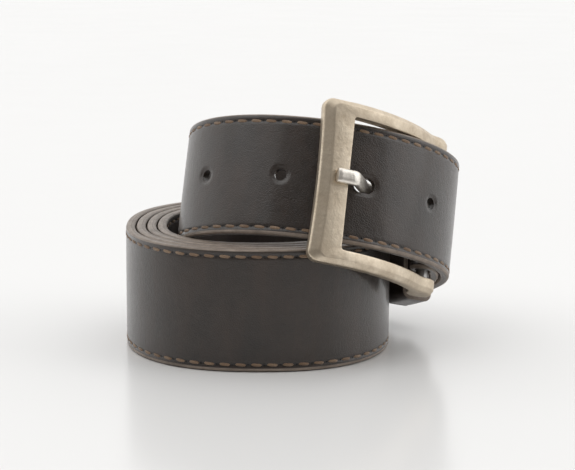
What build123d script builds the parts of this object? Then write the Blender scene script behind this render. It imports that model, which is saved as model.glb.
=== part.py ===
from build123d import *
import math
import os

# Leather dress belt, buckled into a loop whose free length is wound into a coil that stands on
# its edge. Millimetres, +Z up, origin on the table under the middle of the bounding box.

# strap section
strap_width = 35.0
outer_thickness = 1.55          # grain leather
lining_thickness = 1.15         # softer leather on the body side
glue_line = 0.05
strap_thickness = outer_thickness + glue_line + lining_thickness
edge_margin = 2.0               # stitching line to strap edge
thread_width = 0.7
thread_height = 0.12

# coil that stands on the table: an oval spiral
coil_half_width = 40.2
coil_half_depth = 44.4
coil_squareness = 2.33          # 2 is an ellipse, larger is squarer
coil_centre = (0.55, 0.35)
turn_step = 3.12                # from one layer to the next
coil_end = 1530                 # degrees wound when the outermost layer passes the left side

# loop that leans on top of the coil
loop_centre = Vector(17.9, -0.9, 40.5)
loop_half_length = 41.4
loop_half_depth = 34.4
loop_back_left = 36.0           # half depth behind, where the strap drops into the coil
loop_back_right = 60.0          # half depth behind, where the strap climbs out of the coil
loop_turn = 0.243               # radians, long axis of the oval in its own plane
loop_lean = 0.39                # radians, front raised
loop_roll = 0.112               # radians, left side raised
back_lift = 12.0                # rise of the loop's back on its way into the coil
overlap_step = 3.08             # tip strap to the strap it lies on

# where the strap changes from loop to coil and back, in degrees
tip_angle = -150
tip_taper = 22                  # degrees over which the tip narrows
sink_start, sink_end = 60, 230  # moves in over the coil's hollow
drop_start, drop_end = 90, 300  # comes down into it
tuck = 3.0
climb_start, climb_end = 1570, 1725
turn = 1800                     # tip strap and climbing strap share an angle this far apart
hinge_angle = -70               # hinge bar
front_angle = -3.5              # front bar of the buckle
sample = 6                      # degrees between stations of the strap
coil_sample = 10                # the same inside the even coil
face_stations = 5               # stations to a face

# punched holes
hole_pitch = 23.8
hole_diameter = 3.4
used_hole_width = 4.8           # the used hole has opened round the prong
used_hole_stretch = 3.0         # and pulled long
used_hole_angle = -18.2         # degrees along the loop
prong_angle = -18               # the prong bears on the side of its hole
hole_steps = (-2, -1, 1, 2)     # the spare holes, counted from the used one
punch_depth = strap_thickness + 0.4

# buckle
bar_radius = 1.75
fold_gap = 0.3
frame_height = 47.2
frame_window = 38.4
frame_drop = 1.2                # the frame hangs low on the strap
front_bar_width = 8.6
frame_thickness = 3.8
frame_bow = 5.0                 # rise of the arched frame between front bar and hinge bar
front_lift = 4.0                # strap face to the middle of the front bar
bevel_width, bevel_drop = 3.0, 1.7
corner_radius = 3.0
waist = 0.8                     # how far the front bar's outer edge curves in
boss_radius = 4.0
prong_width = 4.2
prong_thickness = 2.2
eye_radius = 3.1
pin_clearance = 0.06
prong_rest = 0.12               # the prong's end clears the front bar by this much
prong_rise = 0.25               # and its bend by this much more
prong_tip_back = 1.3            # tip to the middle line of the front bar
prong_reach = 5.5               # straight through the hole to the bend below it
slot_length, slot_depth = 10, 11

# keeper
keeper_angle = -121
keeper_width = 11.0
keeper_thickness = 1.5
keeper_gap = 0.9
keeper_corner = 0.6
staple_wire, staple_length, staple_width = 0.5, 7, 0.8

fold_length = 38                # degrees that the folded end runs back along the strap


def tilt(v):
    # lean about X, then roll about Y
    y = v.Y * math.cos(loop_lean) + v.Z * math.sin(loop_lean)
    z = v.Z * math.cos(loop_lean) - v.Y * math.sin(loop_lean)
    x = v.X * math.cos(loop_roll) + z * math.sin(loop_roll)
    return Vector(x, y, z * math.cos(loop_roll) - v.X * math.sin(loop_roll))


loop_x = tilt(Vector(1, 0, 0))
loop_y = tilt(Vector(0, 1, 0))
loop_up = tilt(Vector(0, 0, 1))
up = Vector(0, 0, 1)


def smooth(v):
    v = min(1.0, max(0.0, v))
    return v * v * v * (v * (6 * v - 15) + 10)


def polar(t):
    # t counts degrees clockwise from the front, seen from above
    return math.radians(-90 - t)


def coil_point(t):
    a = polar(t)
    inset = turn_step * (coil_end - t) / 360 + strap_thickness / 2
    n = coil_squareness
    x = abs(math.cos(a) / (coil_half_width - inset)) ** n
    y = abs(math.sin(a) / (coil_half_depth - inset)) ** n
    r = (x + y) ** (-1 / n)
    return Vector(coil_centre[0] + r * math.cos(a), coil_centre[1] + r * math.sin(a), strap_width / 2)


def loop_point(t):
    a = polar(t) - loop_turn
    half_depth = loop_half_depth
    if math.sin(a) > 0:
        half_depth = loop_back_left if 0 < t < 700 else loop_back_right
    x = (loop_half_length - strap_thickness / 2) * math.cos(a)
    y = (half_depth - strap_thickness / 2) * math.sin(a)
    u = x * math.cos(loop_turn) - y * math.sin(loop_turn)
    v = x * math.sin(loop_turn) + y * math.cos(loop_turn)
    rise = back_lift * max(0, math.sin(a)) ** 3 if 0 < t < 700 else 0
    return loop_centre + loop_x * u + loop_y * v + up * rise


def loop_normal(t):
    return loop_up.cross(loop_point(t + 0.5) - loop_point(t - 0.5)).normalized()


def run(t):
    # middle of the strap and the direction of its width, loop first, then coil, then the climb
    if t < 700:
        w = smooth((t - sink_start) / (sink_end - sink_start))
        upright = smooth((t - sink_start) / (sink_end - 30 - sink_start))
        bump = math.sin(math.pi * min(1, max(0, (t - sink_start) / (sink_end + 30 - sink_start)))) ** 2
        inward = Vector(math.cos(polar(t)), math.sin(polar(t)), 0) * (-tuck * bump)
        point = loop_point(t) * (1 - w) + coil_point(t) * w + inward
        down = smooth((t - drop_start) / (drop_end - drop_start))
        point.Z = loop_point(t).Z * (1 - down) + coil_point(t).Z * down
        return point, loop_up * (1 - upright) + up * upright
    w = smooth((t - climb_start) / (climb_end - climb_start))
    under = loop_point(t) - loop_normal(t) * overlap_step
    return coil_point(t) * (1 - w) + under * w, up * (1 - w) + loop_up * w


def station_on(path, t):
    # point, tangent, width direction and outward normal
    point, width = path(t)
    tangent = (path(t + 0.5)[0] - path(t - 0.5)[0]).normalized()
    width = (width - tangent * width.dot(tangent)).normalized()
    return point, tangent, width, width.cross(tangent)


def strap(t):
    # the tip lies on the climbing strap until the loop's own oval takes over
    if t >= climb_end - turn:
        return run(t)
    point, tangent, width, normal = station_on(run, t + turn)
    return point + normal * overlap_step, width


def station(t):
    return station_on(strap, t)


def taper(t):
    # share of the full width, rounded off at the tip
    u = min(1.0, max(0.0, (t - tip_angle) / tip_taper))
    return 0.1 + 0.9 * (1 - (1 - u) ** 2.4) ** (1 / 2.4)


def place(t, out, across):
    point, tangent, width, normal = station(t)
    return point + normal * out + width * (across * taper(t))


def angles(start, end):
    # stations closer together where the strap tapers at its tip and where it meets the hinge bar
    stops = [start]
    while stops[-1] < end - 1:
        t = stops[-1]
        step = coil_sample if sink_end < t < climb_start - coil_sample else sample
        if t < tip_angle + tip_taper:
            step = 1 + (t - tip_angle) / 6
        if end - t < 2.2 * step:
            step = (end - t) / 2 if end - t > 2 else end - t
        stops.append(t + step)
    return stops


def skin(first, second):
    # the face between two edges: a true plane where both lie level, ruled elsewhere
    heights = [edge.position_at(k / 4).Z for edge in (first, second) for k in range(5)]
    if max(heights) - min(heights) > 1e-6:
        return Face.make_surface_from_curves(first, second)
    ends = [Edge.make_line(first @ k, second @ k) for k in (0, 1)]
    return Face(Wire([first, ends[1], second, ends[0]]))


def slope(points, travel, k):
    # how fast a row moves with the length along the strap's middle
    before, after = max(0, k - 1), min(len(points) - 1, k + 1)
    return (points[after] - points[before]) / (travel[after] - travel[before])


def ruled_solid(low_in, low_out, high_in, high_out):
    # a band with four long edges, flat ends and faces ruled between the edges; the edges share one
    # parameter, the length along the middle, and are cut into lengths that join smoothly
    rows = (low_in, low_out, high_out, high_in)
    middle = [(a + b + c + d) / 4 for a, b, c, d in zip(*rows)]
    travel = [0.0]
    for here, following in zip(middle, middle[1:]):
        travel.append(travel[-1] + (following - here).length)
    last = len(middle) - 1
    stops = list(range(0, last - face_stations // 2, face_stations)) + [last]
    faces = []
    for start, stop in zip(stops, stops[1:]):
        edges = []
        for row in rows:
            ends = [slope(row, travel, start), slope(row, travel, stop)]
            points, places = row[start:stop + 1], travel[start:stop + 1]
            edges.append(Edge.make_spline(points, tangents=ends, parameters=places, scale=False))
        faces += [skin(edges[i], edges[(i + 1) % 4]) for i in range(4)]
    for k in (0, last):
        corners = [low_in[k], low_out[k], high_out[k], high_in[k]]
        faces.append(Face(Wire.make_polygon(corners, close=True)))
    return Solid(Shell(faces))


def band(start, end, inner, outer, low, high):
    rows = []
    for across, out in ((low, inner), (low, outer), (high, inner), (high, outer)):
        rows.append([place(t, out, across) for t in angles(start, end)])
    return ruled_solid(*rows)


half_width = strap_width / 2
half_thickness = strap_thickness / 2
leather_back = half_thickness - outer_thickness
lining_front = lining_thickness - half_thickness
hinge_at = turn + hinge_angle
bar_offset = leather_back - fold_gap - bar_radius
sheet_gap = 0.1


def fold_offset(t, side):
    # the folded end leaves the hinge bar and closes up against the lining
    wide = bar_offset - bar_radius - fold_gap
    tight = -half_thickness - sheet_gap
    return tight + (wide - tight) * smooth(1 - (hinge_at - t) / 16) - side * outer_thickness


def leather_edge(side, across):
    # side 1 is the grain, side 0 the flesh; along the strap, round the hinge bar and back
    reach = angles(tip_angle, hinge_at - 4) + [hinge_at - 2, hinge_at - 0.8, hinge_at]
    points = [place(t, leather_back + side * outer_thickness, across) for t in reach]
    point, tangent, width, normal = station(hinge_at)
    centre = point + normal * bar_offset + width * across
    radius = bar_radius + fold_gap + side * outer_thickness
    for degrees in range(15, 180, 15):
        a = math.radians(degrees)
        points.append(centre + normal * (radius * math.cos(a)) + tangent * (radius * math.sin(a)))
    for t in [hinge_at, hinge_at - 0.8, hinge_at - 2] + list(reversed(angles(hinge_at - fold_length, hinge_at - 4))):
        points.append(place(t, fold_offset(t, side), across))
    return points


def body_frame(t, out=0.0):
    # X along the strap, Y outward, Z along the strap's width
    point, tangent, width, normal = station(t)
    return Plane(origin=point + normal * out, x_dir=tangent, z_dir=width)


def holes():
    # one punch per hole, spaced by length along the strap
    punches = []
    for step in (0,) + hole_steps:
        t = used_hole_angle
        left = abs(step) * hole_pitch
        stride = math.copysign(0.25, -step)
        while left > 0:
            left -= (strap(t + stride)[0] - strap(t)[0]).length
            t += stride
        punch = Cylinder(hole_diameter / 2, punch_depth)
        if step == 0:
            end = Cylinder(used_hole_width / 2, punch_depth)
            ends = Pos(used_hole_stretch / 2, 0, 0) * end + Pos(-used_hole_stretch / 2, 0, 0) * end
            punch = ends + Box(used_hole_stretch, used_hole_width, punch_depth)
        punches.append(body_frame(t) * (Rot(90, 0, 0) * punch))
    return punches


def outer_strap(cuts):
    edges = [leather_edge(0, -half_width), leather_edge(1, -half_width),
             leather_edge(0, half_width), leather_edge(1, half_width)]
    slot = Pos(1, -1.5, 0) * Box(slot_length, slot_depth, prong_width + 3)
    slot = body_frame(hinge_at, bar_offset) * slot
    return ruled_solid(*edges) - cuts - [slot]


def strap_lining(cuts):
    stop = hinge_at - 6
    return band(tip_angle, stop, -half_thickness, lining_front, -half_width, half_width) - cuts


def edge_stitching(level):
    # a row of thread on each face of the strap
    low, high = level - thread_width / 2, level + thread_width / 2
    face = half_thickness + 0.03
    front = band(tip_angle + tip_taper, hinge_at - 9, face, face + thread_height, low, high)
    stop = hinge_at - fold_length - 4
    back = band(tip_angle + tip_taper, stop, -face - thread_height, -face, low, high)
    return [front, back]


def fold_stitching():
    rows = []
    for t in (hinge_at - 18, hinge_at - fold_length + 4):
        for out in (half_thickness + 0.08, fold_offset(t, 1) - 0.08):
            rows.append(body_frame(t, out) * Box(thread_width, thread_height, strap_width - 6))
    return rows


def keeper_ring(gap_out, gap_across, along):
    # the ring's inside holds both layers of strap
    thick = overlap_step + strap_thickness + 2 * gap_out
    return extrude(RectangleRounded(thick, strap_width + 2 * gap_across, keeper_corner), along, both=True)


def keeper_plane():
    point, tangent, width, normal = station(keeper_angle)
    return Plane(origin=point - normal * (overlap_step / 2), x_dir=normal, z_dir=tangent)


def keeper():
    wall = keeper_thickness
    ring = keeper_ring(keeper_gap + wall, keeper_gap + wall, keeper_width / 2)
    return keeper_plane() * (ring - keeper_ring(keeper_gap, keeper_gap, keeper_width))


def keeper_staple():
    # a wire staple closes the ring on the body side
    wall = (overlap_step + strap_thickness) / 2 + keeper_gap + keeper_thickness
    wire = Box(staple_wire, staple_length, staple_width)
    return keeper_plane() * (Pos(-wall - staple_wire / 2 - 0.02, 0, 0) * wire)


hinge_point = place(hinge_at, bar_offset, 0)
front_point = place(front_angle, half_thickness + front_lift, 0)
drop = Pos(0, 0, -frame_drop)
toward_front = front_point - hinge_point
toward_front = toward_front - loop_up * toward_front.dot(loop_up)
span = toward_front.length
# the buckle's own frame: X from hinge bar to front bar, Y outward, Z along the bars
buckle = Plane(origin=hinge_point, x_dir=toward_front, z_dir=loop_up)
bow_radius = (span ** 2 / 4 + frame_bow ** 2) / (2 * frame_bow)
bow_centre = Vector(span / 2, frame_bow - bow_radius, 0)


def on_bow(x, out):
    # a point at x along the arched middle line, moved out along its normal
    a = math.asin((x - span / 2) / bow_radius)
    radius = bow_radius + out
    return bow_centre + Vector(radius * math.sin(a), radius * math.cos(a), 0)


def buckle_frame():
    far = span + front_bar_width / 2
    half = frame_thickness / 2
    middle, ridge = span / 2, far - bevel_width
    outline = [
        Edge.make_three_point_arc(on_bow(0, half), on_bow(middle, half), on_bow(ridge, half)),
        Edge.make_line(on_bow(ridge, half), on_bow(far, half - bevel_drop)),
        Edge.make_line(on_bow(far, half - bevel_drop), on_bow(far, -half)),
        Edge.make_three_point_arc(on_bow(far, -half), on_bow(middle, -half), on_bow(0, -half)),
        Edge.make_line(on_bow(0, -half), on_bow(0, half)),
    ]
    body = extrude(Face(Wire(outline)), frame_height / 2, dir=(0, 0, 1), both=True)
    body += Cylinder(boss_radius, frame_height)
    corners = body.edges().filter_by(GeomType.LINE).filter_by(lambda e: e.center().X > far - 0.8)
    corners = corners.filter_by(lambda e: abs(e.center().Z) > frame_window / 2)
    body = fillet(corners, corner_radius)
    waist_radius = (frame_height ** 2 / 4 + waist ** 2) / (2 * waist)
    body -= Pos(far - waist + waist_radius, 0, 0) * (Rot(90, 0, 0) * Cylinder(waist_radius, 40))
    reach = span - front_bar_width / 2
    window = Box(reach + 10, 30, frame_window, align=(Align.MAX, Align.CENTER, Align.CENTER))
    body -= Pos(reach, 0, 0) * window
    body -= Cylinder(bar_radius + 0.01, frame_height - 3)
    return buckle * drop * body


def hinge_bar():
    return buckle * drop * Cylinder(bar_radius, frame_height - 3.2)


def prong():
    # eye round the hinge bar, shank under the strap, up through the hole and down on the front bar
    hole = buckle.to_local_coords(place(prong_angle, 0, 0))
    hole = Vector(hole.X, hole.Y, 0)
    over = prong_thickness / 2 + frame_thickness / 2 + prong_rest
    inner_edge = span - front_bar_width / 2
    crest = on_bow(inner_edge - 1.2, over + prong_rise)
    path = [
        Vector(bar_radius, -1.6, 0),
        hole + (hole - crest).normalized() * prong_reach,
        crest,
        on_bow(inner_edge + 1.2, over),
        on_bow(span - prong_tip_back, over),
    ]
    body = Cylinder(eye_radius, prong_width)
    for start, end in zip(path, path[1:]):
        run_along = end - start
        lie = Plane(origin=(start + end) / 2, x_dir=run_along, z_dir=(0, 0, 1))
        body += lie * Box(run_along.length, prong_thickness, prong_width)
        body += Pos(end.X, end.Y, 0) * Cylinder(prong_thickness / 2, prong_width)
    body -= Cylinder(bar_radius + pin_clearance, prong_width + 4)
    return buckle * body


cuts = holes()
stitch_level = half_width - edge_margin
pieces = {
    "outer_strap": [outer_strap(cuts)],
    "strap_lining": [strap_lining(cuts)],
    "upper_edge_stitching": edge_stitching(stitch_level),
    "lower_edge_stitching": edge_stitching(-stitch_level),
    "fold_stitching": fold_stitching(),
    "keeper_loop": [keeper()],
    "keeper_staple": [keeper_staple()],
    "buckle_frame": [buckle_frame()],
    "hinge_bar": [hinge_bar()],
    "prong": [prong()],
}

# the origin goes to the middle of the whole, on the table
boxes = [solid.bounding_box() for solids in pieces.values() for solid in solids]
middle_x = (min(b.min.X for b in boxes) + max(b.max.X for b in boxes)) / 2
middle_y = (min(b.min.Y for b in boxes) + max(b.max.Y for b in boxes)) / 2
settle = Pos(-middle_x, -middle_y, 0)
print("moved by", -middle_x, -middle_y)

os.makedirs("parts", exist_ok=True)
for name, solids in pieces.items():
    moved = [settle * solid for solid in solids]
    shape = moved[0] if len(moved) == 1 else Compound(children=moved)
    export_step(shape, f"parts/{name}.step")
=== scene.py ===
# Leather dress belt, buckled into a loop, its free length wound into a coil that stands on edge.
# Works in millimetres in the belt's own coil frame, and goes to metres when a mesh is made.
import bpy
import bmesh
import numpy as np
from mathutils import Matrix


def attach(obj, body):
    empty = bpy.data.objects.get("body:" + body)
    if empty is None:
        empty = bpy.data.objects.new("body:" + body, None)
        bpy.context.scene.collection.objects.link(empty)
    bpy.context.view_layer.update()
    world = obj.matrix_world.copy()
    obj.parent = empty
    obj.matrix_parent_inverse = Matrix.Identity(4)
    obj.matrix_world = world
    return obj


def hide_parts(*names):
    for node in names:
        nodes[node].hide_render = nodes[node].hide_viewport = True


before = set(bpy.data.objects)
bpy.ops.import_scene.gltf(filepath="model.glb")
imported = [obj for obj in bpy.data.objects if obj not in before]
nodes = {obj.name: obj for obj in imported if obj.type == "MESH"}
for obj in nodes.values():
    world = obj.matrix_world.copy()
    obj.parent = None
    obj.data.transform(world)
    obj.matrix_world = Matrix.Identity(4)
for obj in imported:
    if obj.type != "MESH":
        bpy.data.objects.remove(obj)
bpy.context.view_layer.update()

# the strap's path, in degrees clockwise from the front as seen from above
belt = {
    "width": 35.0, "grain": 1.55, "lining": 1.15, "glue": 0.05,
    "coilHalfWidth": 40.2, "coilHalfDepth": 44.4, "squareness": 2.33, "coilCentre": (0.55, 0.35),
    "turnStep": 3.12, "coilEnd": 1530,          # degrees wound at the outermost layer's left side
    "loopCentre": (17.9, -0.9, 40.5), "loopHalfLength": 41.4, "loopHalfDepth": 34.4,
    "backLeft": 36.0, "backRight": 60.0, "loopTurn": 0.243, "lean": 0.39, "roll": 0.112,
    "overlap": 3.08, "tip": -150, "taper": 22, "sink": (60, 230), "tuck": 3.0, "climb": (1570, 1725),
    "hinge": 1730, "lap": 1800, "foldLength": 38, "pin": 1.75, "foldGap": 0.3,
    "usedHole": -18.2, "holePitch": 23.8, "holeWidth": 3.4, "usedWidth": 4.5, "stretch": 2.0,
    "backLift": 12.0, "drop": (90, 300),
    "origin": (-10.2375, -0.2096, 0.0),         # moves the coil frame to the part's own origin
}
thickness = belt["grain"] + belt["glue"] + belt["lining"]
halfThick = thickness / 2
halfWidth = belt["width"] / 2
flesh = halfThick - belt["grain"]               # back of the grain leather
liningFront = belt["lining"] - halfThick
upright = np.array([0.0, 0.0, 1.0])


def unit(v):
    return v / np.linalg.norm(v, axis=-1, keepdims=True)


def column(v):
    return np.asarray(v, float)[..., None]


def tilted(v):
    # leans back about X, then rolls about Y
    x, y, z = v
    cl, sl, cr, sr = np.cos(belt["lean"]), np.sin(belt["lean"]), np.cos(belt["roll"]), np.sin(belt["roll"])
    y, z = y * cl + z * sl, z * cl - y * sl
    return np.array([x * cr + z * sr, y, z * cr - x * sr])


loopX, loopY, loopUp = tilted((1, 0, 0)), tilted((0, 1, 0)), tilted((0, 0, 1))


def ease(v):
    # quintic step from 0 to 1, flat at both ends
    v = np.clip(v, 0, 1)
    return v ** 3 * (v * (6 * v - 15) + 10)


def coilPoint(t):
    # radius of a superellipse that grows by one turnStep a turn
    a = np.radians(-90 - t)
    inset = belt["turnStep"] * (belt["coilEnd"] - t) / 360 + halfThick
    n = belt["squareness"]
    x = np.abs(np.cos(a) / (belt["coilHalfWidth"] - inset)) ** n
    y = np.abs(np.sin(a) / (belt["coilHalfDepth"] - inset)) ** n
    r = (x + y) ** (-1 / n)
    cx, cy = belt["coilCentre"]
    return np.stack([cx + r * np.cos(a), cy + r * np.sin(a), np.full_like(r, halfWidth)], -1)


def loopPoint(t):
    # an oval in the leaning plane, deeper behind where the strap drops in and climbs out
    a = np.radians(-90 - t) - belt["loopTurn"]
    behind = np.where((t > 0) & (t < 700), belt["backLeft"], belt["backRight"])
    depth = np.where(np.sin(a) > 0, behind, belt["loopHalfDepth"]) - halfThick
    x, y = (belt["loopHalfLength"] - halfThick) * np.cos(a), depth * np.sin(a)
    c, s = np.cos(belt["loopTurn"]), np.sin(belt["loopTurn"])
    rise = np.where((t > 0) & (t < 700), belt["backLift"] * np.clip(np.sin(a), 0, 1) ** 3, 0)
    turned = column(x * c - y * s) * loopX + column(x * s + y * c) * loopY
    return np.array(belt["loopCentre"]) + turned + column(rise) * upright


def run(t):
    # loop, then coil, then the climb back under the tip: middle of the strap and its width direction
    t = np.asarray(t, float)
    s0, s1 = belt["sink"]
    w = ease((t - s0) / (s1 - s0))
    turnUp = ease((t - s0) / (s1 - 30 - s0))
    a = np.radians(-90 - t)
    bump = np.sin(np.pi * np.clip((t - s0) / (s1 + 30 - s0), 0, 1)) ** 2
    inward = column(-belt["tuck"] * bump) * np.stack([np.cos(a), np.sin(a), 0 * a], -1)
    down = ease((t - belt["drop"][0]) / (belt["drop"][1] - belt["drop"][0]))
    share = np.stack([w, w, down], -1)
    early = loopPoint(t) * (1 - share) + coilPoint(t) * share + inward
    earlyUp = loopUp * column(1 - turnUp) + upright * column(turnUp)
    c0, c1 = belt["climb"]
    v = ease((t - c0) / (c1 - c0))
    normal = unit(np.cross(loopUp, loopPoint(t + 0.5) - loopPoint(t - 0.5)))
    late = coilPoint(t) * column(1 - v) + (loopPoint(t) - normal * belt["overlap"]) * column(v)
    lateUp = upright * column(1 - v) + loopUp * column(v)
    first = column(t < 700)
    return np.where(first, early, late), np.where(first, earlyUp, lateUp)


def stationOn(path, t):
    # point, tangent, width direction and outward normal
    point, width = path(t)
    tangent = unit(path(t + 0.5)[0] - path(t - 0.5)[0])
    width = unit(width - tangent * (width * tangent).sum(-1, keepdims=True))
    return point, tangent, width, np.cross(width, tangent)


def strap(t):
    # before the loop proper the tip lies on the climbing strap
    t = np.asarray(t, float)
    point, tangent, width, normal = stationOn(run, t + belt["lap"])
    plain, plainUp = run(t)
    onTop = column(t < belt["climb"][1] - belt["lap"])
    return np.where(onTop, point + normal * belt["overlap"], plain), np.where(onTop, width, plainUp)


def station(t):
    return stationOn(strap, np.asarray(t, float))


def narrowing(t):
    # share of the full width, rounded off at the tip
    u = np.clip((t - belt["tip"]) / belt["taper"], 0, 1)
    return 0.1 + 0.9 * (1 - (1 - u) ** 2.4) ** (1 / 2.4)


def foldOffset(t, side):
    # the folded end leaves the pin and closes up against the lining
    wide = flesh - 2 * belt["foldGap"] - 2 * belt["pin"]
    tight = -halfThick - 0.1
    return tight + (wide - tight) * ease(1 - (belt["hinge"] - t) / 16) - side * belt["grain"]


fineT = np.arange(belt["tip"], belt["hinge"] + 0.01, 0.25)
fineS = np.concatenate([[0], np.cumsum(np.linalg.norm(np.diff(strap(fineT)[0], axis=0), axis=1))])


def lengthAt(t):
    return np.interp(t, fineT, fineS)


def angleAt(s):
    return np.interp(s, fineS, fineT)


strapLength = fineS[-1]
usedHoleS = lengthAt(belt["usedHole"])
holeS = usedHoleS + belt["holePitch"] * np.array([0, -2, -1, 1, 2])
holeRadius = np.array([belt["usedWidth"], *[belt["holeWidth"]] * 4]) / 2
print(f"strap {strapLength:.0f} mm from tip to hinge bar")


def addPiece(name, points, faces, materials, faceMaterial=None, uv=None, smooth=True):
    mesh = bpy.data.meshes.new(name)
    places = (np.asarray(points).reshape(-1, 3) + belt["origin"]) * 0.001
    mesh.from_pydata(places, [], faces.tolist() if hasattr(faces, "tolist") else faces)
    for material in materials:
        mesh.materials.append(material)
    if faceMaterial is not None:
        mesh.polygons.foreach_set("material_index", np.asarray(faceMaterial, np.int32))
    mesh.polygons.foreach_set("use_smooth", np.full(len(mesh.polygons), smooth))
    if uv is not None:
        layer = mesh.uv_layers.new(name="along")
        layer.data.foreach_set("uv", np.asarray(uv, np.float32).ravel())
    mesh.update()
    piece = bpy.data.objects.new(name, mesh)
    bpy.context.scene.collection.objects.link(piece)
    return piece


def tubeFaces(rings, around, closedRings=False):
    # quads between neighbouring rings of the same closed section
    i = np.arange(rings if closedRings else rings - 1)[:, None]
    j = np.arange(around)[None, :]
    i2, j2 = (i + 1) % rings, (j + 1) % around
    return np.stack([i * around + j, i * around + j2, i2 * around + j2, i2 * around + j], -1).reshape(-1, 4)


def sharpen(piece, degrees):
    piece.data.set_sharp_from_angle(angle=np.radians(degrees))


def shader(name, **values):
    material = bpy.data.materials.new(name)
    material.use_nodes = True
    tree = material.node_tree
    bsdf = tree.nodes["Principled BSDF"]
    for key, value in values.items():
        bsdf.inputs[key].default_value = value
    return material, tree, bsdf


def node(tree, kind, inputs=None, **settings):
    made = tree.nodes.new(kind)
    for key, value in settings.items():
        setattr(made, key, value)
    for key, value in (inputs or {}).items():
        if isinstance(value, bpy.types.NodeSocket):
            tree.links.new(value, made.inputs[key])
        else:
            made.inputs[key].default_value = value
    return made


def maths(tree, operation, a, b=0.0, c=0.0):
    return node(tree, "ShaderNodeMath", {0: a, 1: b, 2: c}, operation=operation).outputs[0]


def rangeOf(tree, value, low, high, toLow, toHigh):
    return node(tree, "ShaderNodeMapRange", {0: value, 1: low, 2: high, 3: toLow, 4: toHigh}).outputs[0]


def mixColours(tree, factor, a, b, blend="MIX"):
    made = node(tree, "ShaderNodeMix", data_type="RGBA", blend_type=blend)
    for index, value in ((0, factor), (6, a), (7, b)):
        if isinstance(value, bpy.types.NodeSocket):
            tree.links.new(value, made.inputs[index])
        else:
            made.inputs[index].default_value = value if index == 0 else (*value, 1)
    return made.outputs[2]


def noise(tree, vector, scale, detail=3.0, roughness=0.5):
    values = {"Vector": vector, "Scale": scale, "Detail": detail, "Roughness": roughness}
    return node(tree, "ShaderNodeTexNoise", values).outputs[0]


def cells(tree, vector, scale):
    # distance to the nearest wall between cells
    values = {"Vector": vector, "Scale": scale}
    return node(tree, "ShaderNodeTexVoronoi", values, feature="DISTANCE_TO_EDGE").outputs[0]


def bumps(tree, bsdf, layers):
    # layers of height, each with its own depth in metres
    normal = None
    for height, depth in layers:
        made = node(tree, "ShaderNodeBump", {"Height": height, "Distance": depth, "Strength": 1.0})
        if normal is not None:
            tree.links.new(normal, made.inputs["Normal"])
        normal = made.outputs[0]
    tree.links.new(normal, bsdf.inputs["Normal"])


stitch = {
    "pitch": 4.4, "length": 3.5, "width": 0.92, "height": 0.36, "fromEdge": 2.0, "slant": 0.13,
    "start": 24.0, "hole": 0.42,
}

leather = {
    "dark": (0.0195, 0.0140, 0.0108), "light": (0.039, 0.028, 0.0218), "reddish": (0.047, 0.028, 0.0195),
    "roughness": 0.36, "grainScale": 1700.0, "grainDepth": 0.00004, "creaseScale": 620.0,
    "polish": 0.5, "polishRoughness": 0.16,      # thin clear finish that brightens grazing edges
}


def leatherMaterial(name, dark, light, tint, roughness, stitched=True, sheen=0.0):
    material, tree, bsdf = shader(name, **{
        "Specular IOR Level": 0.5, "Sheen Weight": sheen, "IOR": 1.5,
        "Coat Weight": leather["polish"], "Coat Roughness": leather["polishRoughness"],
    })
    where = node(tree, "ShaderNodeTexCoord").outputs["Object"]
    cloud = noise(tree, where, 55.0, 4.0, 0.6)
    speck = noise(tree, where, 420.0, 4.0, 0.65)
    stretch = node(tree, "ShaderNodeMapping", {"Vector": where, "Scale": (1, 1, 0.25)}).outputs[0]
    streak = noise(tree, stretch, 190.0, 3.0, 0.6)
    colour = mixColours(tree, rangeOf(tree, cloud, 0.35, 0.68, 0, 1), dark, light)
    colour = mixColours(tree, rangeOf(tree, streak, 0.45, 0.75, 0, 0.6), colour, tint)
    colour = mixColours(tree, rangeOf(tree, speck, 0.4, 0.7, 0, 0.35), colour, light)
    pores = cells(tree, where, leather["grainScale"])
    fine = noise(tree, where, 2600.0, 2.0, 0.5)
    creases = cells(tree, where, leather["creaseScale"])
    layers = [(rangeOf(tree, pores, 0.0, 0.25, 0, 1), leather["grainDepth"]), (fine, 0.00002),
              (rangeOf(tree, creases, 0.0, 0.1, 0, 1), 0.00002), (cloud, 0.0004)]
    rough = rangeOf(tree, cloud, 0.3, 0.7, roughness - 0.05, roughness + 0.07)
    if stitched:
        # needle holes sit where one stitch ends and the next begins
        uv = node(tree, "ShaderNodeUVMap", uv_map="along").outputs[0]
        split = node(tree, "ShaderNodeSeparateXYZ", {0: uv})
        along = maths(tree, "MULTIPLY", split.outputs[0], 10.0)
        across = maths(tree, "ABSOLUTE", maths(tree, "MULTIPLY", split.outputs[1], 10.0))
        halfPitch = stitch["pitch"] / 2
        phase = maths(tree, "PINGPONG", maths(tree, "SUBTRACT", along, stitch["start"] + halfPitch), halfPitch)
        off = maths(tree, "SUBTRACT", across, halfWidth - stitch["fromEdge"])
        squares = maths(tree, "ADD", maths(tree, "POWER", phase, 2.0), maths(tree, "POWER", off, 2.0))
        reach = maths(tree, "SQRT", squares)
        # painted shade: this mask colours each needle hole near black and also dents the bump there
        hole = rangeOf(tree, reach, 0.1, stitch["hole"], 0.8, 0)
        # painted shade: the face is darkened along each stitch groove, where shade falls in the sunken line
        line = rangeOf(tree, maths(tree, "ABSOLUTE", off), 0.25, 1.0, 1, 0)
        colour = mixColours(tree, maths(tree, "MULTIPLY", line, 0.35), colour, (0.012, 0.009, 0.008))
        colour = mixColours(tree, hole, colour, (0.004, 0.003, 0.003))
        edge = rangeOf(tree, across, halfWidth - 0.9, halfWidth - 0.15, 0, 1)
        colour = mixColours(tree, maths(tree, "MULTIPLY", edge, 0.6), colour, (0.10, 0.078, 0.064))
        layers.append((maths(tree, "SUBTRACT", 1.0, hole), 0.0005))
    tree.links.new(colour, bsdf.inputs["Base Color"])
    tree.links.new(rough, bsdf.inputs["Roughness"])
    bumps(tree, bsdf, layers)
    return material


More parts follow.
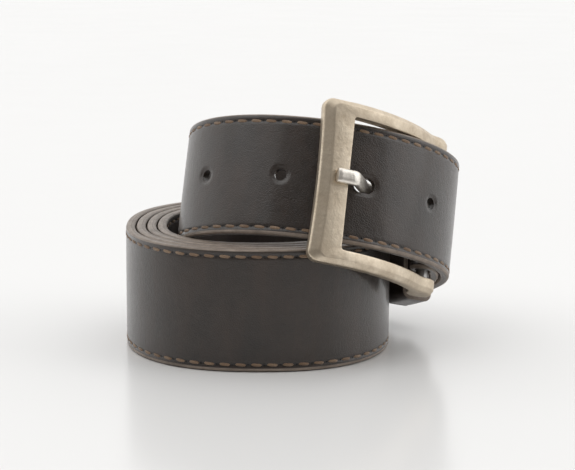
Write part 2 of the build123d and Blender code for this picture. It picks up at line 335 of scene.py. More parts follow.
def rimMaterial(name, dark, light, roughness):
    # cut and burnished edge: fine layer lines run along the strap
    material, tree, bsdf = shader(name, **{"Specular IOR Level": 0.5})
    where = node(tree, "ShaderNodeTexCoord").outputs["Object"]
    uv = node(tree, "ShaderNodeUVMap", uv_map="along").outputs[0]
    drawn = node(tree, "ShaderNodeMapping", {"Vector": uv, "Scale": (0.6, 60.0, 1)}).outputs[0]
    lines = noise(tree, drawn, 1.0, 4.0, 0.6)
    cloud = noise(tree, where, 260.0, 4.0, 0.65)
    fibre = noise(tree, where, 1500.0, 3.0, 0.6)
    colour = mixColours(tree, rangeOf(tree, lines, 0.35, 0.65, 0, 1), dark, light)
    colour = mixColours(tree, rangeOf(tree, cloud, 0.4, 0.72, 0, 0.65), colour, [c * 0.55 for c in dark])
    tree.links.new(colour, bsdf.inputs["Base Color"])
    tree.links.new(rangeOf(tree, fibre, 0.3, 0.7, roughness - 0.08, roughness + 0.1), bsdf.inputs["Roughness"])
    bumps(tree, bsdf, [(lines, 0.00012), (fibre, 0.00008)])
    return material


def threadMaterial():
    material, tree, bsdf = shader("waxed thread", **{"Roughness": 0.55, "Sheen Weight": 0.25, "Sheen Roughness": 0.4})
    where = node(tree, "ShaderNodeTexCoord").outputs["Object"]
    uv = node(tree, "ShaderNodeUVMap", uv_map="along").outputs[0]
    twist = {"Vector": uv, "Scale": 1.6, "Distortion": 0.4}
    ply = node(tree, "ShaderNodeTexWave", twist, wave_type="BANDS", bands_direction="DIAGONAL").outputs[1]
    patch = noise(tree, where, 130.0, 2.0)
    colour = mixColours(tree, rangeOf(tree, patch, 0.35, 0.65, 0, 1), (0.27, 0.165, 0.095), (0.43, 0.29, 0.185))
    # painted shade: the thread is darkened in the grooves between its twisted plies
    colour = mixColours(tree, rangeOf(tree, ply, 0.1, 0.6, 0.7, 0), colour, (0.11, 0.062, 0.036))
    tree.links.new(colour, bsdf.inputs["Base Color"])
    bumps(tree, bsdf, [(ply, 0.00012), (noise(tree, where, 5000.0), 0.00003)])
    return material


def metalMaterial(name, dark, light, roughness, mottle, wear):
    # plated casting: clouded patina, rubbed bright on its corners
    material, tree, bsdf = shader(name, **{"Metallic": 1.0})
    where = node(tree, "ShaderNodeTexCoord").outputs["Object"]
    cloud = noise(tree, where, 150.0, 5.0, 0.65)
    speck = noise(tree, where, 900.0, 4.0, 0.7)
    brushed = node(tree, "ShaderNodeMapping", {"Vector": where, "Scale": (1.0, 1.0, 0.12)}).outputs[0]
    drag = noise(tree, brushed, 1600.0, 3.0, 0.6)
    patch = maths(tree, "ADD", maths(tree, "MULTIPLY", cloud, 0.65), maths(tree, "MULTIPLY", speck, 0.35))
    colour = mixColours(tree, rangeOf(tree, patch, 0.5 - mottle, 0.5 + mottle, 0, 1), dark, light)
    rub = node(tree, "ShaderNodeBevel", {"Radius": 0.0007}, samples=4)
    face = node(tree, "ShaderNodeNewGeometry")
    sides = {0: rub.outputs[0], 1: face.outputs["Normal"]}
    turned = node(tree, "ShaderNodeVectorMath", sides, operation="DOT_PRODUCT").outputs["Value"]
    worn = rangeOf(tree, turned, 0.985, 0.86, 0, wear)
    colour = mixColours(tree, worn, colour, [min(1, c * 1.25) for c in light])
    tree.links.new(colour, bsdf.inputs["Base Color"])
    tree.links.new(rangeOf(tree, patch, 0.35, 0.65, roughness + 0.07, roughness - 0.05), bsdf.inputs["Roughness"])
    bumps(tree, bsdf, [(cloud, 0.00016), (speck, 0.00005), (drag, 0.000012)])
    return material


grainTones = (leather["dark"], leather["light"], leather["reddish"])
liningTones = ((0.030, 0.023, 0.019), (0.055, 0.042, 0.035), (0.06, 0.042, 0.032))
fleshTones = ((0.06, 0.045, 0.036), (0.10, 0.078, 0.062), (0.09, 0.065, 0.05))
grainLeather = leatherMaterial("grain leather", *grainTones, leather["roughness"])
liningLeather = leatherMaterial("lining leather", *liningTones, 0.6)
keeperLeather = leatherMaterial("keeper leather", *grainTones, 0.45, stitched=False)
fleshLeather = leatherMaterial("flesh side", *fleshTones, 0.8, stitched=False, sheen=0.2)
grainRim = rimMaterial("burnished edge", (0.20, 0.158, 0.127), (0.39, 0.32, 0.265), 0.46)
liningRim = rimMaterial("lining edge", (0.17, 0.136, 0.112), (0.33, 0.272, 0.228), 0.5)
thread = threadMaterial()
antiqueNickel = metalMaterial("antique nickel", (0.51, 0.425, 0.32), (0.73, 0.635, 0.505), 0.42, 0.16, 0.7)
brightNickel = metalMaterial("bright nickel", (0.80, 0.75, 0.68), (0.90, 0.86, 0.79), 0.36, 0.28, 0.3)
plainSteel = metalMaterial("plain steel", (0.42, 0.41, 0.40), (0.58, 0.57, 0.56), 0.32, 0.2, 0.3)
print("materials ready")


cutter = {"sides": 40, "depth": 1.6, "eyeSlot": ((-3.6, 3.6), (-7.0, 4.0), (-4.0, 6.0))}

section = {"roundOver": 0.62, "groove": 0.22, "grooveHalf": 0.42, "crown": 0.06, "dimple": 0.42, "dimpleReach": 1.3}


def faceAcross():
    # places across a face, close together at the stitch grooves and round the holes
    line = halfWidth - stitch["fromEdge"]
    besideLine = np.array([1.05, 0.75, 0.5, 0.3, 0.12, 0, -0.12, -0.3, -0.5, -0.75, -1.1])
    side = np.concatenate([line + besideLine, [13.2, 10.8, 8.4, 6.2]])
    core = np.arange(4.6, -0.01, -0.46)
    half = np.concatenate([side, core])
    return np.concatenate([half, -half[-2::-1]])


def sinkAt(v):
    # how far the face drops: a groove under each seam, less a soft crown between them
    line = np.abs(v) - (halfWidth - stitch["fromEdge"])
    groove = section["groove"] * np.exp(-(line / section["grooveHalf"]) ** 2)
    crown = section["crown"] * np.clip(1 - (v / 15.0) ** 2, 0, 1)
    return groove - crown


def dimpleAt(s, v):
    # leather pressed in round each punched hole
    drop = np.zeros(np.broadcast(s, v).shape)
    for index, centre in enumerate(holeS):
        slack = belt["stretch"] / 2 if index == 0 else 0.0
        along = np.clip(np.abs(s - centre) - slack, 0, None)
        gap = np.sqrt(along ** 2 + v ** 2) - holeRadius[index]
        drop = np.maximum(drop, section["dimple"] * ease(1 - gap / section["dimpleReach"]))
    return drop


def stretchOfStrap(t, front, back):
    # stations along the open strap: base, normal, width, height of both faces, width share, length
    point, tangent, width, normal = station(t)
    return dict(base=point, normal=normal, width=width, front=np.full(t.shape, front), back=np.full(t.shape, back),
                share=narrowing(t), s=lengthAt(t), tangent=tangent)


def joined(parts):
    return {key: np.concatenate([part[key] for part in parts]) for key in parts[0]}


def spacing(start, stop):
    # lengths along the strap, close together at the tip and round the holes
    places = [np.arange(start, stop, 1.5), start + np.array([0.2, 0.5, 0.9, 1.4, 2.0, 2.8, 3.6]), [stop]]
    places += [centre + np.arange(-5.0, 5.01, 0.42) for centre in holeS]
    places = np.unique(np.concatenate(places))
    keep = np.concatenate([[True], np.diff(places) > 0.12])
    return places[keep & (places >= start) & (places <= stop)]


def bandPiece(name, rows, materials):
    # closed section: across the face, round the rim, back across the other face, round the rim
    v = faceAcross()
    rim = halfWidth
    radius = section["roundOver"]
    bend = np.radians(np.array([75, 50, 25, 0]))
    roundV, roundH = rim - radius + radius * np.cos(bend), -radius + radius * np.sin(bend)
    backHalf = np.array([rim - 0.05, 16.0, 15.5, 15.0, 9.0, 4.4, 2.2])
    backV = np.concatenate([backHalf, [0.0], -backHalf[::-1]])
    # the section runs from the rounded upper edge down the face and back up the hidden side
    acrossAll = np.concatenate([roundV[::-1], v, -roundV, backV[::-1]])
    heightAll = np.concatenate([roundH[::-1], np.zeros(len(v)), roundH, np.full(len(backV), np.nan)])
    onBack = np.isnan(heightAll)
    count = len(acrossAll)
    s, share = rows["s"][:, None], rows["share"][:, None]
    across = acrossAll[None, :] * share
    sink = np.where(onBack[None, :] | (heightAll[None, :] < -0.01), 0, sinkAt(acrossAll[None, :]))
    sink = sink + np.where(onBack[None, :] | (heightAll[None, :] < -0.01), 0, dimpleAt(s, across))
    front, back = rows["front"][:, None], rows["back"][:, None]
    toward = np.sign(front - back)
    height = np.where(onBack[None, :], back, front + toward * (np.nan_to_num(heightAll)[None, :] - sink))
    raised = rows["normal"][:, None] * height[..., None]
    points = rows["base"][:, None] + raised + rows["width"][:, None] * across[..., None]
    rings = len(points)
    faces = tubeFaces(rings, count)
    edgeBand = np.zeros(count, int)
    first, last = 3, 3 + len(v)
    edgeBand[:first] = 1
    edgeBand[last:last + 4] = 1
    edgeBand[last + 4:-1] = 2
    edgeBand[-1] = 1
    material = np.tile(edgeBand, rings - 1)
    # the map runs 1 unit a centimetre: length, then the way round the section
    steps = np.hypot(np.diff(acrossAll), np.diff(np.nan_to_num(heightAll, nan=-1.2)))
    spread = np.concatenate([[0], np.cumsum(steps)])
    vMap = np.where(onBack, spread, acrossAll)
    u = np.broadcast_to(s / 10, points.shape[:2])
    vv = np.broadcast_to(vMap[None, :] / 10, points.shape[:2])
    uv = np.stack([u, vv], -1).reshape(-1, 2)[faces]
    onRim = (np.tile(edgeBand, rings - 1) == 1)[:, None]
    rimMap = np.sign(uv[:, :1, 1]) * halfWidth / 10 + height.reshape(-1)[faces] / 10
    uv[:, :, 1] = np.where(onRim, rimMap, uv[:, :, 1])
    caps = [list(range(count)), list(range((rings - 1) * count, rings * count))[::-1]]
    if toward[0, 0] > 0:
        faces = faces[:, ::-1]
        uv = uv[:, ::-1]
    else:
        caps = [cap[::-1] for cap in caps]
    allUv = np.concatenate([uv.reshape(-1, 2), np.zeros((2 * count, 2))])
    piece = addPiece(name, points, faces.tolist() + caps, materials, np.concatenate([material, [1, 1]]), allUv)
    sharpen(piece, 60)
    return piece


def fixNormals(piece):
    # turns every face of a closed shell outwards
    made = bmesh.new()
    made.from_mesh(piece.data)
    bmesh.ops.recalc_face_normals(made, faces=made.faces)
    made.to_mesh(piece.data)
    made.free()


def punches():
    # cutters: a prism round each hole, its ring (r cos a + slack, r sin a) on the strap's face, drawn through
    # the thickness along the face's normal, and a box for the prong's eye
    a = np.linspace(0, 2 * np.pi, cutter["sides"], endpoint=False)
    point, tangent, width, normal = station(angleAt(holeS))
    slack = np.where(np.arange(len(holeS)) == 0, belt["stretch"] / 2, 0.0)
    along = holeRadius[:, None] * np.cos(a) + slack[:, None] * np.sign(np.cos(a))
    across = holeRadius[:, None] * np.sin(a)
    rim = point[:, None] + along[..., None] * tangent[:, None] + across[..., None] * width[:, None]
    deep = normal[:, None] * cutter["depth"]
    rings = np.stack([rim - deep, rim + deep], 1).reshape(len(holeS), -1, 3)
    n, k = cutter["sides"], np.arange(cutter["sides"])
    walls = np.stack([k, n + k, n + (k + 1) % n, (k + 1) % n], -1)
    first = 2 * n * np.arange(len(holeS))
    faces = (walls[None] + first[:, None, None]).reshape(-1, 4).tolist()
    faces += (k[None] + first[:, None]).tolist() + (n + k[::-1][None] + first[:, None]).tolist()
    point, tangent, width, normal = station(belt["hinge"])
    centre = point + normal * (flesh - belt["foldGap"] - belt["pin"])
    z, y, x = (v.reshape(-1, 1) for v in np.meshgrid(*cutter["eyeSlot"], indexing="ij"))
    corners = centre + tangent * x + normal * y + width * z
    box = np.array([(0, 1, 3, 2), (4, 5, 7, 6), (0, 1, 5, 4), (2, 3, 7, 6), (0, 2, 6, 4), (1, 3, 7, 5)])
    faces += (box + 2 * n * len(holeS)).tolist()
    mesh = bpy.data.meshes.new("punches")
    mesh.from_pydata((np.concatenate([rings.reshape(-1, 3), corners]) + belt["origin"]) * 0.001, [], faces)
    made = bpy.data.objects.new("punches", mesh)
    fixNormals(made)
    return made


def cutWith(piece, tool):
    # takes the tool away from the piece and keeps the mesh that is left
    bpy.context.scene.collection.objects.link(tool)
    cut = piece.modifiers.new("cut", "BOOLEAN")
    cut.operation, cut.object, cut.solver = "DIFFERENCE", tool, "EXACT"
    shapes = bpy.context.evaluated_depsgraph_get()
    whole = piece.evaluated_get(shapes)
    result = bpy.data.meshes.new_from_object(whole, preserve_all_data_layers=True, depsgraph=shapes)
    piece.modifiers.clear()
    old = piece.data
    piece.data = result
    bpy.data.meshes.remove(old)
    bpy.data.objects.remove(tool)


hinge = belt["hinge"]
mainT = angleAt(spacing(0.0, lengthAt(hinge)))
main = stretchOfStrap(mainT, halfThick, flesh)
pinPoint, pinTangent, pinWidth, pinNormal = station(hinge)
pinCentre = pinPoint + pinNormal * (flesh - belt["foldGap"] - belt["pin"])
swing = np.radians(np.arange(8, 180, 8.0))
wrapNormal = column(np.cos(swing)) * pinNormal + column(np.sin(swing)) * pinTangent
inner = belt["pin"] + belt["foldGap"]
wrap = dict(base=np.tile(pinCentre, (len(swing), 1)), normal=wrapNormal, width=np.tile(pinWidth, (len(swing), 1)),
            front=np.full(len(swing), inner + belt["grain"]), back=np.full(len(swing), inner),
            share=np.ones(len(swing)), s=strapLength + swing * 2.8, tangent=np.tile(pinTangent, (len(swing), 1)))
foldT = hinge - np.concatenate([[0], np.arange(1.0, belt["foldLength"] + 0.1, 1.0)])
point, tangent, width, normal = station(foldT)
fold = dict(base=point, normal=-normal, width=width, front=-foldOffset(foldT, 1), back=-foldOffset(foldT, 0),
            share=np.ones(len(foldT)), s=strapLength + 9 + (strapLength - lengthAt(foldT)), tangent=tangent)
outerStrap = bandPiece("outerStrapLeather", joined([main, wrap, fold]), [grainLeather, grainRim, fleshLeather])
cutWith(outerStrap, punches())
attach(outerStrap, "strap"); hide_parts("outer_strap")
print("outer strap", len(outerStrap.data.polygons), "faces")

liningT = angleAt(spacing(0.0, lengthAt(hinge - 6)))
lining = bandPiece("liningLeather", stretchOfStrap(liningT, -halfThick, liningFront), [liningLeather, liningRim, fleshLeather])
cutWith(lining, punches())
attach(lining, "strap"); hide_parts("strap_lining")
print("lining", len(lining.data.polygons), "faces")


def stitchShape():
    # a plump bar: its half width and height fall away towards both ends, which dip into the leather
    x = np.linspace(-1, 1, 7)[:, None]
    a = np.radians(np.arange(0, 360, 45.0) + 22.5)[None, :]
    fall = (1 - np.abs(x) ** 3.2 * 0.9) ** 0.5
    along = x * stitch["length"] / 2 + 0 * a
    across = stitch["width"] / 2 * fall * np.cos(a) + stitch["slant"] * x
    up = stitch["height"] * (fall * 0.62 * np.sin(a) + 0.35 - 0.95 * np.abs(x) ** 3)
    return np.stack([along, across, up], -1)


def stitchRow(centre, along, across, normal):
    # the shape set down at every place of the row; arrays of one vector a stitch
    shape = stitchShape().reshape(-1, 3)
    points = (centre[:, None] + along[:, None] * shape[:, 0, None] + across[:, None] * shape[:, 1, None]
              + normal[:, None] * shape[:, 2, None])
    rings = tubeFaces(7, 8)
    uv = shape[:, :2]
    return points, rings, uv


def stitchPiece(name, rows, nodeName):
    centre, along, across, normal = (np.concatenate([row[k] for row in rows]) for k in range(4))
    points, rings, uv = stitchRow(centre, along, across, normal)
    per = points.shape[1]
    quads = (rings[None] + per * np.arange(len(points))[:, None, None]).reshape(-1, 4)
    ends = np.arange(8)
    low = (ends[None] + per * np.arange(len(points))[:, None])
    high = (per - 8 + ends[::-1][None] + per * np.arange(len(points))[:, None])
    faces = quads[:, ::-1].tolist() + low.tolist() + high.tolist()
    flip = np.concatenate([f for f in (quads[:, ::-1].ravel(), low.ravel(), high.ravel())])
    local = np.tile(uv, (len(points), 1))[flip]
    piece = addPiece(name, points, faces, [thread], uv=local)
    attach(piece, "strap"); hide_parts(nodeName)
    fixNormals(piece)
    return piece


def edgeRow(level, stop, face):
    # one row along the strap; face is +1 on the grain and -1 on the lining
    s = np.arange(stitch["start"], stop, stitch["pitch"])
    point, tangent, width, normal = station(angleAt(s))
    sunk = halfThick - section["groove"]
    return point + width * level + normal * sunk * face, tangent, width * face, normal * face


def foldRow(level):
    # the same seam on the folded end's outside
    s = np.arange(lengthAt(hinge - belt["foldLength"]) + 3, lengthAt(hinge - 12), stitch["pitch"])
    t = angleAt(s)
    point, tangent, width, normal = station(t)
    return point + width * level + normal * column(foldOffset(t, 1) + section["groove"]), tangent, -width, -normal


def crossRow(t, out, face):
    # a row across the strap
    v = np.arange(-12.5, 12.6, 4.15)
    point, tangent, width, normal = station(np.full(v.shape, float(t)))
    return point + width * column(v) + normal * out, width, tangent * face, normal * face


level = halfWidth - stitch["fromEdge"]
grainStop = strapLength - 9
liningStop = lengthAt(hinge - belt["foldLength"] - 3)
for side, name in ((1, "upper"), (-1, "lower")):
    rows = [edgeRow(side * level, grainStop, 1), edgeRow(side * level, liningStop, -1), foldRow(side * level)]
    stitchPiece(name + "EdgeStitches", rows, name + "_edge_stitching")
crossRows = []
for t in (hinge - 18, hinge - belt["foldLength"] + 4):
    crossRows += [crossRow(t, halfThick - 0.1, 1), crossRow(t, foldOffset(t, 1) + 0.1, -1)]
stitchPiece("foldStitches", crossRows, "fold_stitching")
print("stitches set")


keeper = {"angle": -121, "along": 11.0, "thick": 1.5, "gap": 0.9, "corner": 1.3, "round": 0.4}


def roundedBox(halfX, halfY, radius, perCorner, perSide):
    # path round a rectangle with rounded corners: positions and outward directions
    places, outward = [], []
    for k, (sx, sy) in enumerate(((1, 1), (-1, 1), (-1, -1), (1, -1))):
        a = np.radians(90.0 * k + np.linspace(0, 90, perCorner))
        corner = np.stack([sx * (halfX - radius) + radius * np.cos(a), sy * (halfY - radius) + radius * np.sin(a)], -1)
        places.append(corner)
        outward.append(np.stack([np.cos(a), np.sin(a)], -1))
    full, turned = [], []
    for k in range(4):
        full.append(places[k])
        turned.append(outward[k])
        mix = np.linspace(0, 1, perSide + 2)[1:-1, None]
        full.append(places[k][-1] * (1 - mix) + places[(k + 1) % 4][0] * mix)
        turned.append(np.repeat(outward[k][-1:], perSide, axis=0))
    return np.concatenate(full), np.concatenate(turned)


def keeperBand():
    # the band's section, carried round both layers of the strap
    point, tangent, width, normal = station(keeper["angle"])
    origin = point - normal * belt["overlap"] / 2
    halfX = (belt["overlap"] + thickness) / 2 + keeper["gap"]
    halfY = halfWidth + keeper["gap"]
    path, outward = roundedBox(halfX, halfY, keeper["corner"], 8, 10)
    half, wall, r = keeper["along"] / 2, keeper["thick"], keeper["round"]
    bend = np.radians(np.linspace(90, 0, 5))
    edge = np.stack([half - r + r * np.cos(bend), wall - r + r * np.sin(bend)], -1)
    low = np.stack([half - 0.25 + 0.25 * np.cos(-bend[::-1]), 0.25 + 0.25 * np.sin(-bend[::-1])], -1)
    face = np.linspace(-1, 1, 13)[1:-1] * (half - r)
    crease = 0.12 * np.exp(-((np.abs(face) - 4.2) / 0.3) ** 2)
    top = np.stack([face, wall - 0.10 * np.abs(face / half) ** 3 - crease], -1)
    flat = np.stack([np.array([3.0, 0.0, -3.0]), np.zeros(3)], -1)
    shape = np.concatenate([top, edge, low, flat, low[::-1] * (-1, 1), edge[::-1] * (-1, 1)])
    count = len(shape)
    points = (origin + path[:, 0, None, None] * normal + path[:, 1, None, None] * width
              + shape[None, :, 0, None] * tangent
              + shape[None, :, 1, None] * (outward[:, 0, None, None] * normal + outward[:, 1, None, None] * width))
    faces = tubeFaces(len(path), count, True)
    region = np.zeros(count, int)
    nTop, nEdge = len(top), len(edge)
    region[nTop + 1:nTop + 2 * nEdge] = 1
    region[nTop + 2 * nEdge:nTop + 2 * nEdge + 3] = 2
    region[nTop + 2 * nEdge + 3:-2] = 1
    around = np.concatenate([[0], np.cumsum(np.linalg.norm(np.diff(path, axis=0), axis=1))])
    uv = np.stack([np.repeat(around / 10, count), np.tile(np.arange(count) * 0.05, len(path))], -1)[faces]
    finishes = [keeperLeather, grainRim, fleshLeather]
    piece = addPiece("keeperBand", points, faces, finishes, np.tile(region, len(path)), uv)
    fixNormals(piece)
    sharpen(piece, 50)
    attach(piece, "strap"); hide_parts("keeper_loop")


keeperBand()

buckle = {
    "height": 47.2, "window": 38.4, "barWidth": 8.6, "thick": 3.8, "bow": 5.0, "lift": 4.0, "frontAngle": -3.5,
    "hang": 1.2, "boss": 4.0, "corner": 3.0, "innerCorner": 0.7, "bevel": 2.7, "bevelDrop": 1.25, "railBevel": 1.5,
    "railDrop": 1.2, "round": 0.45, "waist": 0.8,
}
hingeCentre = pinCentre
frontStation = station(buckle["frontAngle"])
frontPoint, frontNormal = frontStation[0], frontStation[3]
toFront = frontPoint + frontNormal * (halfThick + buckle["lift"]) - hingeCentre
toFront = toFront - loopUp * (toFront @ loopUp)
span = np.linalg.norm(toFront)
buckleX = toFront / span
buckleY = np.cross(loopUp, buckleX)
bowRadius = (span ** 2 / 4 + buckle["bow"] ** 2) / (2 * buckle["bow"])
bowCentre = (span / 2, buckle["bow"] - bowRadius)


def onBow(x, out):
    # x along the arched middle line, out square to it
    a = np.arcsin((x - span / 2) / bowRadius)
    return bowCentre[0] + (bowRadius + out) * np.sin(a), bowCentre[1] + (bowRadius + out) * np.cos(a)


def inBuckle(x, y, z):
    return hingeCentre + column(x) * buckleX + column(y) * buckleY + column(z) * loopUp


def inFrame(x, y, z):
    # the frame hangs low on the strap, against its lower edge
    return inBuckle(x, y, np.asarray(z) - buckle["hang"])


def frameOutline():
    # inner and outer edge of the U, station by station: rail, corner, front bar, corner, rail
    halfIn, halfOut = buckle["window"] / 2, buckle["height"] / 2
    inX, outX = span - buckle["barWidth"] / 2, span + buckle["barWidth"] / 2
    rIn, rOut = buckle["innerCorner"], buckle["corner"]
    bossT = np.radians(np.linspace(12, 90, 9))
    railX = np.concatenate([-buckle["boss"] * np.cos(bossT), np.linspace(0.6, 5.4, 8), np.linspace(6.6, inX - rIn, 15)])
    a = np.radians(np.linspace(0, 90, 9)[1:-1])
    inner = [np.stack([railX, np.full(railX.shape, halfIn)], -1),
             np.stack([inX - rIn + rIn * np.sin(a), halfIn - rIn + rIn * np.cos(a)], -1)]
    outer = [np.stack([railX, np.full(railX.shape, halfOut)], -1),
             np.stack([outX - rOut + rOut * np.sin(a), halfOut - rOut + rOut * np.cos(a)], -1)]
    z = np.linspace(1, 0, 15)
    inner.append(np.stack([np.full(z.shape, inX), z * (halfIn - rIn)], -1))
    outer.append(np.stack([np.full(z.shape, outX), z * (halfOut - rOut)], -1))
    inner, outer = np.concatenate(inner), np.concatenate(outer)
    inner = np.concatenate([inner, inner[-2::-1] * (1, -1)])
    outer = np.concatenate([outer, outer[-2::-1] * (1, -1)])
    # the front bar is waisted and its rails' share of bevel gives way to the bar's own
    bar = ease((outer[:, 0] - (outX - 6)) / 6)
    outer[:, 0] -= buckle["waist"] * bar * (1 - np.clip(np.abs(outer[:, 1]) / halfOut, 0, 1) ** 2)
    return inner, outer, bar


def buckleFrame():
    # section at each station, measured across from the inner edge and down from the top or up from the foot:
    # up the inside, over the top, down the bevel, round the outside and back beneath
    inner, outer, bar = frameOutline()
    run = outer - inner
    wide = np.linalg.norm(run, axis=1)[:, None]
    n = len(bar)
    bevel = (buckle["railBevel"] + (buckle["bevel"] - buckle["railBevel"]) * bar)[:, None]
    drop = (buckle["railDrop"] + (buckle["bevelDrop"] - buckle["railDrop"]) * bar)[:, None]
    half, r = buckle["thick"] / 2, buckle["round"]
    c, s = np.cos(np.radians(np.linspace(0, 90, 5)))[None], np.sin(np.radians(np.linspace(0, 90, 5)))[None]
    soft = np.linspace(0, 1, 8)[None]
    reach = bevel * 0.14
    ridgeW, ridgeDrop = wide - bevel + reach * (2 * soft - 1), drop / bevel * reach * soft ** 2
    lipW = wide - 0.75 * (1 - soft) ** 2
    lipDrop = drop / bevel * (bevel - 0.75 * (1 - soft)) + 0.55 * soft ** 2
    full = np.zeros((n, 1))
    acrossW = np.concatenate([full + r * (1 - s), full + r * (1 - c), ridgeW, lipW, wide - r * (1 - c)], 1)
    depth = np.concatenate([full + r * (1 - c), full + r * (1 - s), ridgeDrop, lipDrop, full + r * (1 - s)], 1)
    onFoot = np.zeros(acrossW.shape[1], bool)
    onFoot[:5], onFoot[-5:] = True, True
    x = inner[:, :1] + run[:, :1] / wide * acrossW
    z = inner[:, 1:] + run[:, 1:] / wide * acrossW
    # the rail swells into the boss round the hinge pin
    boss = np.sqrt(np.clip(buckle["boss"] ** 2 - np.clip(x, None, 0) ** 2, 0, None))
    top = boss + (half - boss) * ease(x / 6.5)
    depth = depth * np.clip(top / 1.3, 0, 1)
    out = np.where(onFoot[None], depth - top, top - depth)
    bowX, bowY = onBow(np.clip(x, 0, None), out)
    points = inFrame(np.where(x < 0, x, bowX), np.where(x < 0, out, bowY), z)
    count = points.shape[1]
    faces = tubeFaces(n, count)
    caps = [list(range(count)), list(range((n - 1) * count, n * count))]
    piece = addPiece("buckleFrameCast", points, faces.tolist() + caps, [antiqueNickel])
    fixNormals(piece)
    sharpen(piece, 75)
    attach(piece, "frame"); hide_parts("buckle_frame")
    print("buckle frame", len(faces), "faces")


buckleFrame()

prong = {
    "width": 4.2, "thick": 2.2, "eye": 3.1, "pinRoom": 0.06, "over": 0.12, "tipRound": 1.3,
    "angle": -18.0, "reach": 5.5, "rise": 0.25, "tipBack": 1.3, "bends": [3.5, 1.0, 1.0],
}


def smoothPath(corners, rounds, steps):
    # straight runs joined by parabolic bends
    corners = np.asarray(corners, float)
    pieces = [corners[:1]]
    for k in range(1, len(corners) - 1):
        before, here, after = corners[k - 1], corners[k], corners[k + 1]
        a = here + unit(before - here) * rounds[k - 1]
        b = here + unit(after - here) * rounds[k - 1]
        u = np.linspace(0, 1, steps)[:, None]
        pieces.append(a * (1 - u) ** 2 + here * 2 * u * (1 - u) + b * u ** 2)
    pieces.append(corners[-1:])
    return np.concatenate(pieces)


def resample(path, step):
    lengths = np.concatenate([[0], np.cumsum(np.linalg.norm(np.diff(path, axis=0), axis=1))])
    places = np.linspace(0, lengths[-1], int(lengths[-1] / step) + 1)
    return np.stack([np.interp(places, lengths, path[:, k]) for k in range(path.shape[1])], -1), places


def prongPiece():
    # a rounded bar swept from the eye, up through the hole and over the front bar, with a blunt tip
    holeHere = station(prong["angle"])[0] - hingeCentre
    hole = np.array([holeHere @ buckleX, holeHere @ buckleY])
    over = prong["thick"] / 2 + buckle["thick"] / 2 + prong["over"]
    innerEdge = span - buckle["barWidth"] / 2
    crest = np.array(onBow(innerEdge - 1.2, over + prong["rise"]))
    below = hole + unit(hole - crest) * prong["reach"]
    last = onBow(span - prong["tipBack"] + prong["thick"] / 2, over)
    corners = [(belt["pin"], -1.6), below, crest, onBow(innerEdge + 1.2, over), last]
    path, places = resample(smoothPath(corners, prong["bends"], 12), 0.4)
    total = places[-1]
    tangent = unit(np.gradient(path, axis=0))
    normal = np.stack([-tangent[:, 1], tangent[:, 0]], -1)
    left = np.clip((total - places) / prong["tipRound"], 0, 1)
    close = np.sqrt(np.clip(1 - (1 - left) ** 2, 0, 1))
    closeW = 0.72 + 0.28 * close
    a = np.radians(np.arange(0, 360, 10.0))
    shapeW = np.sign(np.cos(a)) * np.abs(np.cos(a)) ** 0.62 * prong["width"] / 2
    shapeH = np.sign(np.sin(a)) * np.abs(np.sin(a)) ** 0.75 * prong["thick"] / 2
    keep = close > 0.12
    path, normal, close, closeW = path[keep], normal[keep], close[keep], closeW[keep]
    xy = path[:, None] + normal[:, None] * (shapeH[None] * close[:, None])[..., None]
    z = shapeW[None] * closeW[:, None]
    points = inBuckle(xy[..., 0], xy[..., 1], z)
    faces = tubeFaces(len(path), len(a))
    n = len(path)
    caps = [list(range(len(a))), list(range((n - 1) * len(a), n * len(a)))]
    shank = addPiece("prongShank", points, faces.tolist() + caps, [brightNickel])
    fixNormals(shank)
    sharpen(shank, 55)
    # the eye: a short tube round the pin with softened mouths
    r0, r1, half = belt["pin"] + prong["pinRoom"], prong["eye"], prong["width"] / 2
    lips = np.array([[r0, half - 0.3], [r0 + 0.1, half - 0.08], [r0 + 0.3, half],
                     [r1 - 0.4, half], [r1 - 0.1, half - 0.12], [r1, half - 0.45]])
    ring = np.concatenate([lips, lips[::-1] * (1, -1)])
    turn = np.radians(np.arange(0, 360, 7.5))
    x, y = ring[None, :, 0] * np.cos(turn)[:, None], ring[None, :, 0] * np.sin(turn)[:, None]
    points = inBuckle(x, y, ring[None, :, 1] + 0 * turn[:, None])
    eye = addPiece("prongEye", points, tubeFaces(len(turn), len(ring), True), [brightNickel])
    fixNormals(eye)
    sharpen(eye, 50)
    for piece in (shank, eye):
        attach(piece, "tongue"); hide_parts("prong")


prongPiece()


def refinish(name, material):
    # a CAD node keeps its shape and takes a detailed finish
    for slot in nodes[name].material_slots:
        slot.material = material


refinish("hinge_bar", plainSteel)
refinish("keeper_staple", plainSteel)
print("buckle ready")

stage = {
    "floor": (0.83, 0.826, 0.82), "floorRough": 0.2, "room": (1.0, 0.998, 0.992), "front": (0.095, 0.087, 0.081),
    "strength": 1.15, "keyPower": 1.2, "fillPower": 1.0, "glowFrom": -0.5, "glowTo": 0.32, "glowTilt": 0.55,
    "floorShine": 0.22, "floorHalf": 3.0, "floorLow": 0.0002,
}


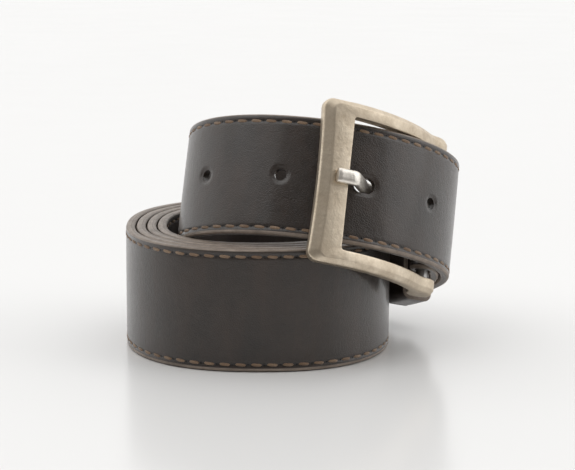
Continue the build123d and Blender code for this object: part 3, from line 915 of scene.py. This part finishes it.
def studio():
    scene = bpy.context.scene
    world = bpy.data.worlds.new("pale room")
    scene.world = world
    world.use_nodes = True
    tree = world.node_tree
    background = tree.nodes["Background"]
    background.inputs["Strength"].default_value = stage["strength"]
    # the room is bright all round and dim on the side in front of the belt
    ways = node(tree, "ShaderNodeTexCoord").outputs["Generated"]
    parts = node(tree, "ShaderNodeSeparateXYZ", {0: ways})
    facing = maths(tree, "ADD", parts.outputs[1], maths(tree, "MULTIPLY", parts.outputs[2], stage["glowTilt"]))
    reach = {0: facing, 1: stage["glowFrom"], 2: stage["glowTo"], 3: 0.0, 4: 1.0}
    glow = node(tree, "ShaderNodeMapRange", reach, interpolation_type="SMOOTHSTEP").outputs[0]
    tree.links.new(mixColours(tree, glow, stage["front"], stage["room"]), background.inputs["Color"])
    floorMesh = bpy.data.meshes.new("floor")
    corners = np.array([(-1, -1, 0), (1, -1, 0), (1, 1, 0), (-1, 1, 0)]) * stage["floorHalf"]
    floorMesh.from_pydata(corners - upright * stage["floorLow"], [], [(0, 1, 2, 3)])
    floor = bpy.data.objects.new("floor", floorMesh)
    scene.collection.objects.link(floor)
    look = {"Base Color": (*stage["floor"], 1), "Specular IOR Level": stage["floorShine"]}
    material, tree, bsdf = shader("floor", **look)
    where = node(tree, "ShaderNodeTexCoord").outputs["Object"]
    soft = noise(tree, where, 14.0, 3.0)
    rough = rangeOf(tree, soft, 0.3, 0.7, stage["floorRough"] - 0.01, stage["floorRough"] + 0.01)
    tree.links.new(rough, bsdf.inputs["Roughness"])
    floorMesh.materials.append(material)
    addLight("key", (-0.45, -0.35, 0.75), (0.7, 0.7), stage["keyPower"])
    addLight("fill", (0.75, -0.15, 0.45), (0.5, 0.6), stage["fillPower"])


def addLight(name, place, size, power):
    light = bpy.data.lights.new(name, "AREA")
    light.shape = "RECTANGLE"
    light.size, light.size_y = size
    light.energy = power
    made = bpy.data.objects.new(name, light)
    bpy.context.scene.collection.objects.link(made)
    toward = np.array([0, 0, 0.04]) - np.array(place)
    made.matrix_world = Matrix.Translation(place) @ lookAlong(toward)


def lookAlong(direction):
    # a light shines down its own -Z
    z = -direction / np.linalg.norm(direction)
    x = np.cross((0, 0, 1), z)
    x = x / np.linalg.norm(x)
    y = np.cross(z, x)
    return Matrix([[x[0], y[0], z[0], 0], [x[1], y[1], z[1], 0], [x[2], y[2], z[2], 0], [0, 0, 0, 1]])


view = {"place": (-0.00164, -0.5910, 0.1401), "down": 0.182, "roll": 0.005, "lens": 125.2, "sensor": 36.0}


def cameraIn():
    camera = bpy.data.cameras.new("camera")
    camera.lens, camera.sensor_width = view["lens"], view["sensor"]
    camera.clip_start = 0.05
    made = bpy.data.objects.new("camera", camera)
    bpy.context.scene.collection.objects.link(made)
    turn = Matrix.Rotation(np.pi / 2 - view["down"], 4, "X") @ Matrix.Rotation(view["roll"], 4, "Z")
    made.matrix_world = Matrix.Translation(view["place"]) @ turn
    bpy.context.scene.camera = made


studio()
cameraIn()
print("stage and camera ready")
bpy.context.scene.view_settings.view_transform = "Standard"
